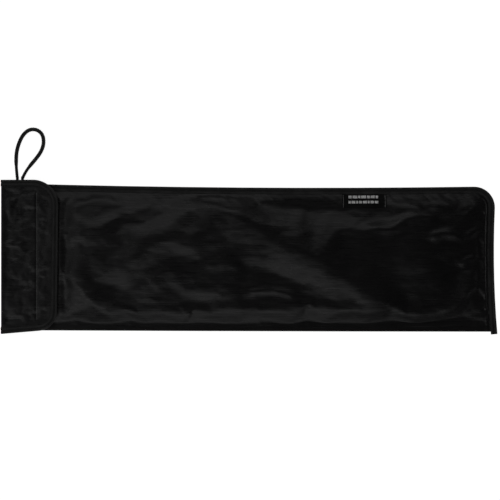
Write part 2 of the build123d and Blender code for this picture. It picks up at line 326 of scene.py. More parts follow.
def woven_tape(name, tone, specular):
    """Ribbed binding tape: ribs across and along it, and painted shade darkening its stitched groove."""
    made = Finish(name, (tone,) * 3, 0.55, specular)
    rib = made.along("along", 0.9 * MM)
    blotch = made.noise(60, 4)
    # painted shade: the mask named groove darkens the tape's colour along its stitched groove, where shade
    # falls
    groove = made.node("ShaderNodeAttribute", attribute_name="groove").outputs["Fac"]
    shade = made.math("SUBTRACT", made.remap(blotch, 0.3, 0.7, 0.25, 1), groove)
    made.tint(shade, (tone * 0.3,) * 3, (tone * 1.3,) * 3)
    made.bump(rib, 0.12 * MM, 0.8)
    made.bump(made.along("across", 0.45 * MM), 0.04 * MM, 0.5)
    made.rough(blotch, 0.48, 0.66)
    return made.material


def spun(name, tone, roughness=0.6, specular=0.2):
    """Thread and cord: fibres turned along the strand."""
    made = Finish(name, (tone,) * 3, roughness, specular)
    fibre = made.noise(1, 2, made.place((1800, 1800, 1800)))
    made.tint(made.remap(fibre, 0.3, 0.7, 0, 1), (tone * 0.6,) * 3, (tone * 1.4,) * 3)
    made.bump(fibre, 0.06 * MM, 0.7)
    return made.material


CLOTH_FRONT = nylon("pouch_nylon", 0.3, 0.2)
CLOTH_FLAP = nylon("flap_nylon", 0.3, 0.2)
TAPE_FINISH = woven_tape("binding_tape", 0.016, 0.12)
THREAD_FINISH = spun("sewing_thread", 0.012)
CORD_FINISH = spun("cord_sheath", 0.012, 0.6, 0.1)
LOOP_FINISH = spun("brushed_loops", 0.02, 0.9)
HOOK_FINISH = spun("moulded_hooks", 0.03, 0.35)
LABEL_FINISH = woven_tape("label_weave", 0.004, 0.06)
WHITE_FINISH = spun("white_yarn", 0.55)
PALE_FINISH = spun("pale_yarn", 0.22)


def floor_finish():
    made = Finish("light_table", (0.9, 0.9, 0.9), 0.9, 0.1)
    made.tint(made.noise(40, 3), (0.29, 0.29, 0.29), (0.31, 0.31, 0.31))
    made.shader.inputs["Emission Color"].default_value = (1, 1, 1, 1)
    made.shader.inputs["Emission Strength"].default_value = 0.93
    return made.material


# ---- mesh helpers ----


def mesh_object(name, vertices, faces, finish, attributes=None):
    mesh = bpy.data.meshes.new(name)
    mesh.from_pydata([tuple(map(float, v)) for v in vertices], [], [tuple(map(int, f)) for f in faces])
    mesh.validate()
    for key, values in (attributes or {}).items():
        mesh.attributes.new(key, "FLOAT", "POINT").data.foreach_set("value", np.asarray(values, np.float32))
    mesh.polygons.foreach_set("use_smooth", [True] * len(mesh.polygons))
    mesh.materials.append(finish)
    return add_object(name, mesh)


def grid_faces(rows, columns, wrap=False):
    """Quads between rows of vertices; wrap joins the last column to the first."""
    faces = []
    for i in range(rows - 1):
        for j in range(columns if wrap else columns - 1):
            k = (j + 1) % columns
            faces.append((i * columns + j, i * columns + k, (i + 1) * columns + k, (i + 1) * columns + j))
    return faces


def grid_index(columns, rows):
    """The column and the row of every vertex of a grid."""
    i, j = np.meshgrid(np.arange(columns), np.arange(rows), indexing="ij")
    return i.ravel(), j.ravel()


def spots_of(made):
    """An object's vertices, as an array."""
    return np.array([v.co for v in made.data.vertices])


def settle(made, *modifiers):
    """Adds modifiers to an object, applies them all and returns the object."""
    for kind, settings in modifiers:
        modifier = made.modifiers.new(kind.lower(), kind)
        for key, value in settings.items():
            setattr(modifier, key, value)
    bpy.context.view_layer.update()
    mesh = bpy.data.meshes.new_from_object(made.evaluated_get(bpy.context.evaluated_depsgraph_get()))
    made.modifiers.clear()
    made.data = mesh
    return made


def thicken(thickness):
    return "SOLIDIFY", {"thickness": thickness, "offset": 0.0}


def soften(width):
    return "BEVEL", {"width": width, "segments": 2, "limit_method": "ANGLE"}


def fractal(x, y, size, seed=0.0, octaves=3):
    """Smooth random height from -1 to 1 over many points, features of about that size."""
    spots = (Vector((a / size, b / size, seed)) for a, b in zip(x, y))
    return np.array([noise.fractal(spot, 0.9, 2.0, octaves) for spot in spots])


# ---- cord loop ----

CORD = 4 * MM
SWING = JOINT["loop_swing"]
BRAID_STEP = 0.4 * MM
BRAID_PITCH = 11 * MM
AROUND = 28  # points round the cord
CARRIERS = 4  # strands that wind each way
PLUMP, LOOSER = 1.06, 0.26  # the sheath's radius over the cord's, and how much it gains past its ends
LOOP_ROUTE = (  # from one end in the seam to the other
    *((-0.3139, 0.1062), (-0.3150, 0.1155), (-0.3156, 0.1290), (-0.3149, 0.1425), (-0.3114, 0.1546)),
    *((-0.3060, 0.1653), (-0.2973, 0.1724), (-0.2866, 0.1718), (-0.2792, 0.1646), (-0.2780, 0.1526)),
    *((-0.2820, 0.1415), (-0.2895, 0.1315), (-0.2979, 0.1218), (-0.3036, 0.1136), (-0.3070, 0.1062)),
)
TAIL_X = (LOOP_ROUTE[0][0], LOOP_ROUTE[-1][0])


def smooth_line(points):
    """The points of a smooth curve led by a few points."""
    curve = bpy.data.curves.new("cord_route", "CURVE")
    curve.dimensions = "3D"
    curve.resolution_u = 24
    spline = curve.splines.new("NURBS")
    spline.points.add(len(points) - 1)
    for point, place in zip(spline.points, points):
        point.co = (*place, 1)
    spline.order_u = 3
    spline.use_endpoint_u = True
    guide = add_object("cord_route", curve)
    bpy.context.view_layer.update()
    mesh = bpy.data.meshes.new_from_object(guide.evaluated_get(bpy.context.evaluated_depsgraph_get()))
    bpy.data.objects.remove(guide)
    return np.array([v.co for v in mesh.vertices])


def braid(name, line, radius, looser=0.0):
    """A round braided sheath along a line: strands cross over and under each other.
    Away from its ends it is looser and thicker by a share of its radius, and lies that much higher."""
    line = resample(line, BRAID_STEP)
    t = tangents(line)
    s = np.arange(len(line)) * BRAID_STEP
    swell = looser * ease((np.minimum(s, s[-1] - s) - 15 * MM) / (8 * MM))
    line = line + np.outer(swell * radius, (0, 0, 1))
    side = unit(np.cross(t, (0, 0, 1.0)))
    up = np.cross(side, t)
    angle = np.arange(AROUND) * 2 * pi / AROUND
    turn = 2 * pi * s / BRAID_PITCH
    left = np.cos(CARRIERS * (angle[None] + turn[:, None]))
    right = np.cos(CARRIERS * (angle[None] - turn[:, None]))
    r = radius * (1 + swell[:, None]) * (0.91 + 0.09 * np.maximum(left, right))
    out = np.cos(angle)[None, :, None] * side[:, None] + np.sin(angle)[None, :, None] * up[:, None]
    points = (line[:, None] + r[..., None] * out).reshape(-1, 3)
    faces = grid_faces(len(line), AROUND, True)
    last = len(line) * AROUND
    faces += [((j + 1) % AROUND, j, last) for j in range(AROUND)]
    base = last - AROUND
    faces += [(base + j, base + (j + 1) % AROUND, last + 1) for j in range(AROUND)]
    return mesh_object(name, np.concatenate([points, line[:1], line[-1:]]), faces, CORD_FINISH)


def make_cord():
    line = smooth_line([(x, y, SWING.z) for x, y in LOOP_ROUTE])
    loop = braid("cord_loop_sheath", line + (0, 0, 0.1 * MM), PLUMP * CORD / 2, LOOSER)
    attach(loop, "cord_loop")
    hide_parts("hanging_loop")


make_cord()

# ---- the cloth ----

# Soft folds in the front. First a run of crest points, u then v of each, in thousandths: u from the creases
# to the closed end, v from the folded edge to the seam. Then the widths left and right of the run and the
# height, in mm.
RIDGES = (
    ((390, 912, 449, 835, 507, 743, 564, 638, 616, 533, 681, 420, 725, 329, 772, 223, 828, 146), 34,
      26, 4.6),
    ((370, 961, 431, 891, 491, 800, 544, 701), 24, 12, 2),
    ((233, 265, 257, 434, 282, 547, 310, 617, 342, 631, 382, 589, 415, 547), 26, 14, 3.6),
    ((116, 440, 160, 290, 212, 100), 22, 10, 2.9),
    ((233, 153, 298, 146, 378, 174, 451, 202), 13, 10, -1.4),
    ((298, 293, 314, 364, 338, 392, 366, 357), 10, 12, 1.5),
    ((463, 448, 512, 420, 568, 378, 624, 301), 12, 14, -2),
    ((471, 891, 536, 870, 600, 856, 681, 835, 778, 835, 818, 870), 10, 24, -2.4),
    ((657, 631, 705, 476, 778, 322, 842, 209), 22, 26, -2.2),
    ((124, 83, 127, 279, 127, 631, 124, 912), 6, 10, -2.6),
    ((132, 814, 160, 877, 193, 905, 229, 877, 245, 814), 8, 9, 1.8),
    ((140, 758, 173, 715, 205, 722, 237, 786), 8, 8, 1.6),
    ((124, 293, 144, 209, 173, 125), 10, 10, 1.4),
    ((120, 673, 140, 645, 165, 680), 6, 6, 1),
    ((124, 1011, 156, 926, 181, 912), 5, 5, -0.9),
    ((330, 930, 420, 860, 500, 760), 20, 34, 2.2),
    ((491, 258, 524, 279, 560, 272, 596, 237), 5, 5, 1.4),
    ((407, 448, 451, 469, 487, 420), 8, 9, 1.2),
    ((350, 919, 399, 940, 451, 919), 9, 9, 1.1),
    ((721, 694, 754, 715, 786, 722, 818, 779, 854, 793, 891, 765), 8, 10, 3.0),
    ((858, 652, 895, 680, 927, 652), 6, 7, 2.2),
    ((770, 891, 822, 870, 875, 898, 927, 863), 8, 10, 2.6),
    ((806, 940, 850, 828, 883, 814), 6, 6, 1),
    ((879, 90, 909, 146, 929, 230, 943, 336, 951, 448), 12, 9, 3),
    ((935, 645, 955, 694, 975, 722), 5, 5, 1.7),
    ((927, 469, 951, 504, 973, 497), 5, 5, 1.6),
    ((931, 251, 953, 301, 973, 308), 5, 5, 1.6),
    ((939, 111, 959, 153, 975, 139), 5, 5, 1.4),
    ((963, 700, 965, 561, 963, 279, 963, 150), 5, 5, -2.4),
    ((160, 167, 277, 132, 399, 153, 520, 146, 641, 167, 762, 118, 883, 76), 9, 8, 1),
    ((358, 5, 370, 68, 378, 125), 2.6, 2.6, 1.5),
    ((705, 125, 725, 83, 750, 68), 4, 4, -0.8),
)
LENGTH = SEAM_HI.x - CREASE_X


def spread(points, count=40):
    """A smooth line through a few points, given in thousandths."""
    points = np.reshape(points, (-1, 2)) / 1000
    padded = np.vstack([2 * points[0] - points[1], points, 2 * points[-1] - points[-2]])
    out = []
    for s in np.linspace(0, len(points) - 1, count):
        i = min(int(s), len(points) - 2)
        f = s - i
        a, b, c, d = padded[i : i + 4]
        second, third = 2 * a - 5 * b + 4 * c - d, 3 * b - a - 3 * c + d
        out.append(0.5 * (2 * b + (c - a) * f + second * f**2 + third * f**3))
    return np.array(out)


def seam_y(x):
    """The seam's outer edge, carried on past the rounded corner."""
    top = SEAM[: len(SEAM) * 3 // 4]
    rising = top[top[:, 0] < SEAM_HI.x - 0.045]
    return np.interp(x, rising[:, 0], rising[:, 1])


def from_share(u, v):
    x = CREASE_X + u * LENGTH
    return x, fold_y(x) + v * (seam_y(x) - fold_y(x))


def ridge_height(x, y, points, left_width, right_width, height, place=from_share):
    """A soft ridge along a run of crest points, of its own width on either side."""
    line = resample([place(u, v) for u, v in spread(points)], 3 * MM)
    t = tangents(line)
    left = np.stack([-t[:, 1], t[:, 0]], axis=1)
    out = np.zeros(len(x))
    reach = 3 * max(left_width, right_width) * MM
    (x0, y0), (x1, y1) = line.min(0) - reach, line.max(0) + reach
    near = np.flatnonzero((x > x0) & (x < x1) & (y > y0) & (y < y1))
    if not len(near):
        return out
    gap = np.stack([x[near, None] - line[None, :, 0], y[near, None] - line[None, :, 1]], axis=2)
    square = (gap**2).sum(2)
    weight = np.exp((square.min(1)[:, None] - square) / (2 * (5 * MM) ** 2))
    weight /= weight.sum(1)[:, None]
    b = ((gap * left[None]).sum(2) * weight).sum(1)
    share = (weight * np.linspace(0, 1, len(line))[None]).sum(1)
    before, after = -(gap[:, 0] * t[0]).sum(1), (gap[:, -1] * t[-1]).sum(1)
    a = np.clip(np.where(share < 0.5, before, after), 0, None)
    width = np.where(b > 0, left_width, right_width) * MM
    mean = (left_width + right_width) / 2 * MM
    ends = ease(share / 0.22 + 0.12) * ease((1 - share) / 0.22 + 0.12)
    out[near] = height * MM * ends * np.exp(-((b / width) ** 2) - (a / mean) ** 2)
    return out


# Slope of the front at distances in from the folded edge, and from the seams, in metres.
FOLD_SLOPES = ((0, -0.08), (0.009, -0.07), (0.012, 0.30), (0.021, 0.28), (0.030, 0.08))
FOLD_SLOPES += ((0.090, 0.05), (0.150, 0.0))
SEAM_SLOPES = ((0, 0.24), (0.008, 0.20), (0.030, 0.13), (0.060, 0.06), (0.090, 0.0))


MIDDLE_UP = 0.25 * MM  # the front's middle surface over the middle of the seam


def rise(distance, slopes):
    """Height reached at a distance, over the height reached in the end."""
    at, slope = np.array(slopes).T
    fine = np.linspace(0, at[-1], 400)
    steep = np.interp(fine, at, slope)
    height = np.concatenate([[0], np.cumsum((steep[1:] + steep[:-1]) / 2)])
    return np.interp(distance, fine, height / height[-1])


BEAD_PITCH, BEAD_HIGH = 5 * MM, 0.9 * MM
BEAD_DEPTH, GROOVE_DEPTH = 13.2 * MM, 10.6 * MM  # in from the pouch's edge


def closed_end_beads(x, y, depth):
    """The cloth gathered by the closed end's stitches: a groove, and a row of small puckers past it."""
    at_end = ease((x - SEAM_HI.x + 0.030) / 0.012)
    at_end = at_end * ease((y - fold_y(x)) / 0.012) * ease((seam_y(x) - y) / 0.020)
    bead = 0.5 + 0.5 * np.cos(2 * pi * y / BEAD_PITCH + 1.6 * fractal(y, x * 0, 0.02, 6.1, 2))
    crest = hump(depth - BEAD_DEPTH, 1.7 * MM) * (0.25 + 0.95 * bead)
    groove = hump(depth - GROOVE_DEPTH, 1.1 * MM) * 0.9
    return at_end * (crest - groove) * BEAD_HIGH


def front_z(x, y, depth):
    """Height of the front's middle surface; depth is the distance inside the bound edges."""
    past_flap = ease((x - FLAP_END_X + 2 * MM) / 0.05)
    crown = (CROWN_Z - SEAM_Z) * past_flap + (MOUTH_Z - 0.5 * MM - SEAM_Z) * (1 - past_flap)
    stretch = 1 + 0.3 * fractal(x, x * 0, 0.07, 2.2, 2)
    from_fold = np.clip(y - fold_y(x), 0, None) * stretch
    from_seam = np.clip(depth - TAPE + 1.2 * MM, 0, None) * (1 + 0.4 * fractal(x, x * 0, 0.06, 8.2, 2))
    puffed = rise(from_seam, SEAM_SLOPES) * rise(from_fold, FOLD_SLOPES)
    free = ease((x - FLAP_END_X + 4 * MM) / 0.012) * ease(from_seam / 0.012) * ease(from_fold / 0.008)
    folds = sum(ridge_height(x, y, *ridge) for ridge in RIDGES)
    rough = 0.9 * MM * fractal(x * 0.7, y, 0.045, 7.7, 2) + 0.5 * MM * fractal(x * 0.5, y, 0.018, 3.1, 3)
    pucker = 0.6 * MM * hump(from_seam, 0.012) * ease(from_seam / 0.003)
    pucker = pucker * fractal(x + y, x * 0, 0.009, 1.3, 2)
    shape = SEAM_Z + MIDDLE_UP + crown * puffed
    shape = shape + (folds + rough) * (0.15 + 0.85 * free) * ease(puffed * 1.8) + pucker
    shape = shape + closed_end_beads(x, y, depth)
    return shape + draped(x, y) * (0.1 + 0.6 * free)


# ---- cloth simulation of the front: a little spare length between sewn edges wrinkles ----

SIM_STEP = 4.5 * MM
SIM_ACROSS = 0.195
SPARE_ALONG, SPARE_ACROSS = 0.0015, 0.006  # spare length over length
SIM_ALONG = SEAM_HI.x - 1 * MM - MOUTH_X
SIM_FRAMES = 26
DRAWN_IN_BY = 12
DRAPE = None  # how far each grid point rises, once simulated


def sim_grid():
    columns, rows = int((SEAM_HI.x - MOUTH_X) / SIM_STEP), int(SIM_ACROSS / SIM_STEP)
    i, j = grid_index(columns, rows)
    x = MOUTH_X + SIM_ALONG * i / (columns - 1)
    y = fold_y(x) + (seam_y(x) - fold_y(x)) * j / (rows - 1)
    return columns, rows, x, y


def simulate():
    """Lets the front buckle between its sewn edges; returns how far each grid point rose."""
    columns, rows, x, y = sim_grid()
    depth, _ = nearest(x, y, SEAM)
    z = front_z(x, y, depth)
    loose = np.column_stack([x * (1 + SPARE_ALONG), y * (1 + SPARE_ACROSS), z])
    made = mesh_object("front_drape", loose, grid_faces(columns, rows), CLOTH_FRONT)
    held = (depth < TAPE + 1 * MM) | (y - fold_y(x) < 5 * MM) | (x < MOUTH_X + TAPE)
    made.vertex_groups.new(name="sewn").add([int(k) for k in np.flatnonzero(held)], 1.0, "REPLACE")
    modifier = made.modifiers.new("drape", "CLOTH")
    modifier.point_cache.frame_start, modifier.point_cache.frame_end = 1, SIM_FRAMES
    settings = modifier.settings
    settings.quality, settings.mass, settings.air_damping = 6, 0.12, 6
    settings.tension_stiffness = settings.compression_stiffness = 60
    settings.shear_stiffness, settings.bending_stiffness = 30, 2
    made.shape_key_add(name="slack")
    sewn = made.shape_key_add(name="drawn_in")
    sewn.data.foreach_set("co", np.column_stack([x, y, z]).ravel())
    for number, value in ((1, 0.0), (DRAWN_IN_BY, 1.0)):
        sewn.value = value
        sewn.keyframe_insert("value", frame=number)
    settings.vertex_group_mass = "sewn"
    settings.effector_weights.gravity = 0
    modifier.collision_settings.use_collision = False
    scene = bpy.context.scene
    for number in range(1, SIM_FRAMES + 1):
        scene.frame_set(number)
    after = made.evaluated_get(bpy.context.evaluated_depsgraph_get())
    rose = spots_of(after)[:, 2] - z
    scene.frame_set(1)
    bpy.data.objects.remove(made)
    return np.where(depth > TAPE, rose, 0).reshape(columns, rows)


def cubic(at, count):
    """The grid point before each place on a row of that many, and the weights of the four round it."""
    at = np.clip(at, 0, count - 1.001)
    base = np.clip(np.floor(at).astype(int), 0, count - 2)
    f = at - base
    inner = ((3 * f - 5) * f * f + 2) / 2, ((4 - 3 * f) * f + 1) * f / 2
    return base, (((2 - f) * f - 1) * f / 2, *inner, (f - 1) * f * f / 2)


def draped(x, y):
    """Height the simulation adds at each point."""
    if DRAPE is None:
        return 0 * x
    columns, rows = DRAPE.shape
    i_base, i_weights = cubic((x - MOUTH_X) / SIM_ALONG * (columns - 1), columns)
    j_base, j_weights = cubic((y - fold_y(x)) / (seam_y(x) - fold_y(x)) * (rows - 1), rows)
    total = 0
    for m, wi in enumerate(i_weights):
        for n, wj in enumerate(j_weights):
            spot = DRAPE[np.clip(i_base + m - 1, 0, columns - 1), np.clip(j_base + n - 1, 0, rows - 1)]
            total = total + wi * wj * spot
    return total


DRAPE = simulate()


def back_z(x, y, depth):
    """Height of the back's middle surface: on the table, and up to the middle of its tape."""
    low = 0.32 * MM + 0.25 * MM * (1 + fractal(x, y, 0.05, 5.0))
    edge = ease((depth - TAPE) / 0.004) * ease((x - MOUTH_X) / 0.006)
    return LOWER_Z + (low - LOWER_Z) * edge


MARGIN = 2.5 * MM  # from a bound edge to the cloth inside its tape
WIDE = int(0.20 / STEP)


def snap_inside(x, y):
    """Moves points that lie outside the bound edges onto a line a margin inside them."""
    depth, normal = nearest(x, y, SEAM)
    keep = depth > MARGIN - 1.3 * STEP
    push = np.clip(MARGIN - depth, 0, None)
    return x + normal[:, 0] * push, y + normal[:, 1] * push, np.maximum(depth, MARGIN), keep


def cloth_patch(columns, rows, place):
    """A grid of vertices from place(i, j arrays) with faces only where all its corners are kept."""
    points, keep = place(*grid_index(columns, rows))
    return points, [f for f in grid_faces(columns, rows) if keep[list(f)].all()]


def weld(name, patches, finish):
    points = np.concatenate([p for p, _ in patches])
    faces, start = [], 0
    for p, f in patches:
        faces += [tuple(k + start for k in face) for face in f]
        start += len(p)
    made = mesh_object(name, points, faces, finish)
    edit = bmesh.new()
    edit.from_mesh(made.data)
    bmesh.ops.delete(edit, geom=[v for v in edit.verts if not v.link_faces], context="VERTS")
    bmesh.ops.remove_doubles(edit, verts=edit.verts, dist=0.02 * MM)
    bmesh.ops.recalc_face_normals(edit, faces=edit.faces)
    edit.to_mesh(made.data)
    edit.free()
    return made


ROLL = 7  # rows of the grid round the folded edge
TURNED = 3 * MM  # how far the roll reaches in under the pouch
ROLL_LOW = 0.45 * MM


def crease_blend(made, upper):
    """Bakes a piece's transform into its mesh; the ends of a bend across the upper or the lower crease are
    worked out but not used.
    """
    if upper:
        ends = (CREASE_X, 0, UPPER_Z - BLEND_UP), (CREASE_X + BLEND_ALONG, 0, UPPER_Z)
        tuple(ends[0])
        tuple(ends[1])
        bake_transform(made)
    else:
        ends = (CREASE_X + BLEND_ALONG, 0, LOWER_Z), (CREASE_X, 0, LOWER_Z + BLEND_UP)
        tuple(ends[0])
        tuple(ends[1])
        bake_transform(made)


def make_pouch_cloth():
    """Front, folded edge, back and the lower half of the strip between the creases: one cloth."""
    fine_from = SEAM_HI.x - 0.035
    coarse = np.arange(MOUTH_X, SEAM_HI.x - 0.036, STEP)
    x_front = np.concatenate([coarse, np.arange(fine_from, SEAM_HI.x, END_STEP)])
    x_back = np.concatenate([np.arange(MOUTH_X - STEP, CREASE_X + 1.4 * MM, -STEP)[::-1], x_front])

    def front(i, j):
        x = x_front[i]
        low = fold_y(x)
        y = low + (seam_y(x) - MARGIN - low) * (1 - (j / (WIDE - 1)))
        x, y, depth, keep = snap_inside(x, y)
        return np.column_stack([x, y, front_z(x, y, depth)]), keep

    def rolled(i, j):
        x = x_front[i]
        angle = pi * j / (ROLL - 1)
        y = fold_y(x) - np.sin(angle) * BEND + ease((angle - pi / 2) / (pi / 2)) * TURNED
        z = ROLL_LOW + (SEAM_Z + MIDDLE_UP - ROLL_LOW) * (1 + np.cos(angle)) / 2
        return np.column_stack([x, y, z]), nearest(x, y, SEAM)[0] > MARGIN - 1.3 * STEP

    def back(i, j):
        x = x_back[i]
        low = fold_y(x) + TURNED
        y = low + (seam_y(x) - MARGIN - low) * j / (WIDE - 1)
        x, y, depth, keep = snap_inside(x, y)
        z = np.where((j == 0) & (x >= MOUTH_X - 0.01 * MM), ROLL_LOW, back_z(x, y, depth))
        return np.column_stack([x, y, z]), keep

    left_x = x_back[0]
    profile = [(left_x, LOWER_Z)]
    for angle in np.linspace(0, pi / 2, 6):
        profile.append((CREASE_X + BEND * (1 - sin(angle)), LOWER_Z + BEND * (1 - cos(angle))))
    for z in np.linspace(LOWER_Z + BEND, RISER_Z, 6)[1:]:
        profile.append((CREASE_X, z))
    profile = np.array(profile)

    def riser(i, j):
        x, z = profile[i].T
        spread_out = (z - LOWER_Z) / (UPPER_Z - LOWER_Z)
        low = fold_y(left_x) + TURNED + (FLAP_EDGE[-1][1] - fold_y(left_x)) * spread_out
        high = seam_y(left_x) - MARGIN + (FLAP_EDGE[0][1] - seam_y(left_x)) * spread_out
        y = low + (high - low) * j / (WIDE - 1)
        return np.column_stack([x, y, z]), np.ones(len(x), bool)

    patches = [cloth_patch(len(x_front), WIDE, front), cloth_patch(len(x_front), ROLL, rolled)]
    patches += [cloth_patch(len(x_back), WIDE, back), cloth_patch(len(profile), WIDE, riser)]
    made = weld("pouch_cloth", patches, CLOTH_FRONT)
    settle(made, thicken(CLOTH))
    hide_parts("front_panel", "back_panel")
    crease_blend(made, False)


make_pouch_cloth()

# Soft folds in the flap, like the front's; u runs from the crease to the free edge, v up the crease.
FLAP_RIDGES = (
    ((300, 900, 450, 860, 600, 880), 7, 6, 1.1),
    ((80, 760, 200, 720, 300, 750), 4, 4, -0.9),
    ((480, 660, 640, 600, 820, 630), 8, 7, -1.1),
    ((100, 560, 240, 580, 400, 520), 6, 6, 0.8),
    ((500, 450, 660, 420, 840, 460), 7, 6, 0.9),
    ((220, 360, 360, 310, 520, 330), 5, 6, -1.1),
    ((450, 240, 620, 170, 800, 220), 8, 8, 1.2),
    ((100, 220, 200, 170, 320, 200), 6, 5, 0.9),
    ((80, 920, 140, 840, 160, 760), 4, 4, 0.7),
    ((70, 100, 200, 80, 340, 110), 4, 4, -0.7),
)


FLAP_WAVE = 1.1 * MM


def flap_share(u, v):
    return CREASE_X + u * (FLAP_END_X - CREASE_X), FLAP_LO.y + v * (FLAP_HI.y - FLAP_LO.y)


def flap_lift(x, y, depth):
    """How far wrinkles lift the flap and what is sewn to it."""
    free = ease((depth - TAPE + 1 * MM) / 0.010) * ease((x - CREASE_X - 1 * MM) / 0.008)
    folds = sum(ridge_height(x, y, *ridge, flap_share) for ridge in FLAP_RIDGES)
    rough = 0.95 * MM * fractal(x * 0.8, y * 1.2, 0.016, 9.2, 3) + 0.6 * MM * fractal(x, y, 0.035, 4.4, 2)
    fine = 0.42 * MM * fractal(x, y * 1.3, 0.0065, 2.6, 2)
    # Kept low enough that the flap, opened flat, doesn't reach into the table.
    return (FLAP_WAVE * np.tanh((folds + rough + fine) / FLAP_WAVE) - FLAP_WAVE / 2) * free


def flap_z(x, y, depth):
    """Height of the flap's middle surface, with the print of the hook tape under it."""
    inside = np.minimum.reduce([x - HOOK_LO.x, HOOK_HI.x - x, y - HOOK_LO.y, HOOK_HI.y - y])
    print_through = 0.12 * MM * ease((inside + 1.5 * MM) / (3 * MM))
    sewn = -0.75 * MM * hump(x - HOOK_LO.x - TOUCH_INSET, 1.3 * MM) * (inside > -1 * MM)
    sewn = sewn - 0.15 * MM * hump(inside - TOUCH_INSET, 1.1 * MM)
    return UPPER_Z + print_through + sewn + flap_lift(x, y, depth)


def make_flap_cloth():
    """The upper half of the strip between the creases, and the flap: one cloth."""
    profile = [(CREASE_X, z) for z in np.linspace(RISER_Z, UPPER_Z - BEND, 5)]
    for angle in np.linspace(0, pi / 2, 6)[1:]:
        profile.append((CREASE_X + BEND * (1 - cos(angle)), UPPER_Z - BEND * (1 - sin(angle))))
    start = len(profile)
    profile += [(x, UPPER_Z) for x in np.arange(CREASE_X + BEND + STEP, FLAP_END_X, STEP)]
    profile = np.array(profile)
    low_end, high_end = FLAP_EDGE[-1][1], FLAP_EDGE[0][1]

    def place(i, j):
        x, z = profile[i].T
        y = low_end + MARGIN + (high_end - low_end - 2 * MARGIN) * j / (WIDE - 1)
        on_top = i >= start
        depth, normal = nearest(x, y, FLAP_EDGE, 2)
        push = np.where(on_top, np.clip(MARGIN - depth, 0, None), 0)
        keep = ~on_top | (depth > MARGIN - 1.3 * STEP)
        x, y = x + normal[:, 0] * push, y + normal[:, 1] * push
        z = np.where(on_top, flap_z(x, y, np.maximum(depth, MARGIN)), z)
        return np.column_stack([x, y, z]), keep

    made = weld("flap_cloth", [cloth_patch(len(profile), WIDE, place)], CLOTH_FLAP)
    settle(made, thicken(CLOTH))
    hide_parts("fold_panel", "flap_panel")
    crease_blend(made, True)


make_flap_cloth()

# ---- binding tape ----


def on_level(path, z):
    return np.column_stack([path, np.broadcast_to(z, len(path))])


def flat_frame(path, z):
    """Points, inward directions and upward directions along a flat path."""
    return on_level(path, z), on_level(rightward(path), 0.0), np.tile((0, 0, 1.0), (len(path), 1))


def riser_frame(y_low, y_high, side, top):
    """The same along the strip between the creases, from its middle to the upper or the lower crease."""
    z_end, sign = (UPPER_Z, 1) if top else (LOWER_Z, -1)
    spots = [(CREASE_X, z, 0.0) for z in np.linspace(RISER_Z, z_end - sign * BEND, 6)]
    for angle in np.linspace(0, pi / 2, 7)[1:]:
        spots.append((CREASE_X + BEND * (1 - cos(angle)), z_end - sign * BEND * (1 - sin(angle)), angle))
    points, inward, out = [], [], []
    for x, z, angle in spots:
        y = y_low + (y_high - y_low) * (z - LOWER_Z) / (UPPER_Z - LOWER_Z)
        points.append((x, y, z))
        inward.append((0, -side, 0))
        out.append((-sign * cos(angle), 0, sin(angle)))
    return np.array(points), np.array(inward, float), np.array(out)


def joined(*frames):
    """Courses of tape, end to end."""
    return tuple(np.concatenate(part) for part in zip(*frames))


def backwards(frame_part):
    return tuple(part[::-1] for part in frame_part)


TAPE_WOBBLE = 0.35 * MM  # of its inner edge
ROUND = 0.16  # share of the tape's width that its rounded edge takes up


def tape(name, course, half, width=TAPE, seed=0.0):
    """Tape folded over an edge: a C in section, with its stitched line drawn in, and a mask for the painted
    shade along that line.
    """
    points, inward, up = course
    run = run_along(points)
    half = np.broadcast_to(half, len(points))
    section = [(d, 1.0, 0.0) for d in np.linspace(1, ROUND, 13)]
    section += [(None, sin(angle), cos(angle)) for angle in np.linspace(pi / 2, 3 * pi / 2, 9)[1:-1]]
    section += [(d, -1.0, 0.0) for d in np.linspace(ROUND, 1, 13)]
    rings, inner, groove_shades = [], [], []
    edge = np.array([noise.fractal(Vector((s / 0.02, seed, 0.5)), 0.9, 2.0, 3) for s in run])
    swell = np.array([noise.fractal(Vector((s / 0.012, seed, 4.5)), 0.9, 2.0, 2) for s in run])
    drawn = 0.5 + 0.5 * np.cos(2 * pi * run / STITCH_PITCH)
    for d, h, lean in section:
        if d is None:
            far, tall = half * (1 + lean), half * h
            inner_far, inner_tall = half + (half - TAPE_CLOTH) * lean, (half - TAPE_CLOTH) * h
        else:
            far = half + (width + edge * TAPE_WOBBLE * d - half) * (d - ROUND) / (1 - ROUND)
            sink = hump(far - width / 2, 1.1 * MM) * (0.38 + 0.30 * drawn) * MM
            curl = 0.20 * MM * ease((far - 0.6 * width) / (0.4 * width)) * (0.6 + 0.6 * swell)
            belly = 0.10 * MM * swell * np.sin(pi * np.clip(far / width, 0, 1))
            tall = h * (half - sink + curl * (h > 0) + belly)
            inner_far, inner_tall = far, h * (half - TAPE_CLOTH - sink + curl * (h > 0) + belly)
        # mask for the painted shade along the stitched groove, strongest at each stitch
        groove_shades.append(hump(far - width / 2, 1.0 * MM) * (0.6 + 0.4 * drawn))
        rings.append(points + inward * far[:, None] + up * tall[:, None])
        inner.append(points + inward * inner_far[:, None] + up * inner_tall[:, None])
    loop = rings + inner[::-1]
    columns, m = len(loop), len(section)
    grid = np.stack(loop, axis=1)
    across = run_along(grid[len(points) // 2])
    faces = grid_faces(len(points), columns, True)
    last = (len(points) - 1) * columns
    for k in range(m - 1):
        mate, mate_next = columns - 1 - k, columns - 2 - k
        faces.append((k, mate, mate_next, k + 1))
        faces.append((last + k, last + k + 1, last + mate_next, last + mate))
    # the painted shade mask goes to the material as the attribute named groove
    groove = np.stack(groove_shades + groove_shades[::-1], axis=1).ravel()
    values = {"along": np.repeat(run, columns), "across": np.tile(across, len(points)), "groove": groove}
    made = mesh_object(name, grid.reshape(-1, 3), faces, TAPE_FINISH, attributes=values)
    return made


